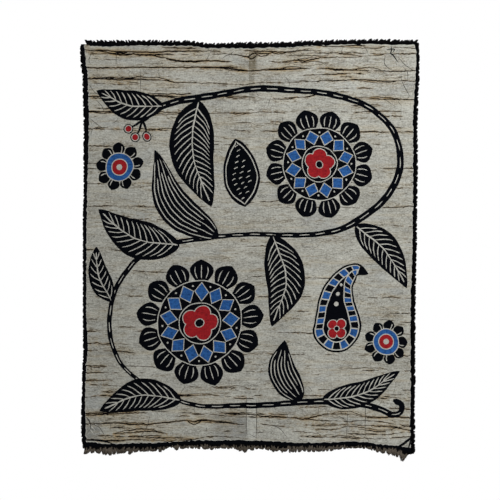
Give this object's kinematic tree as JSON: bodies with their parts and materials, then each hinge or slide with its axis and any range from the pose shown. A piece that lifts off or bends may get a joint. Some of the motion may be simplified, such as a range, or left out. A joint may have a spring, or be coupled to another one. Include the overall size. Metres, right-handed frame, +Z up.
{
  "type": "batik wall hanging",
  "caption": "Upright rectangular dyed cotton hanging with raw frayed edges, soft waves and fold creases, held along its top edge.",
  "frame": {"origin": "the middle of the cloth's top edge, halfway through its thickness, where the hanging is held", "axes": "+Z up; the dyed front faces -Y and the back faces +Y; +X is to the right seen from the front"},
  "size_m": [0.7256, 0.0138, 0.9047],
  "materials": {
    "cloth": "plain-woven cotton, off-white with crackle lines and black, blue and red dye",
    "black_yarn": "loose cotton threads dyed black",
    "grey_yarn": "loose cotton threads, grey-brown and matted"
  },
  "bodies": {
    "root": {"cloth": "cloth", "top_fringe": "black_yarn", "left_fringe": "black_yarn", "right_fringe": "black_yarn", "bottom_fringe": "grey_yarn"}
  },
  "joints": []
}
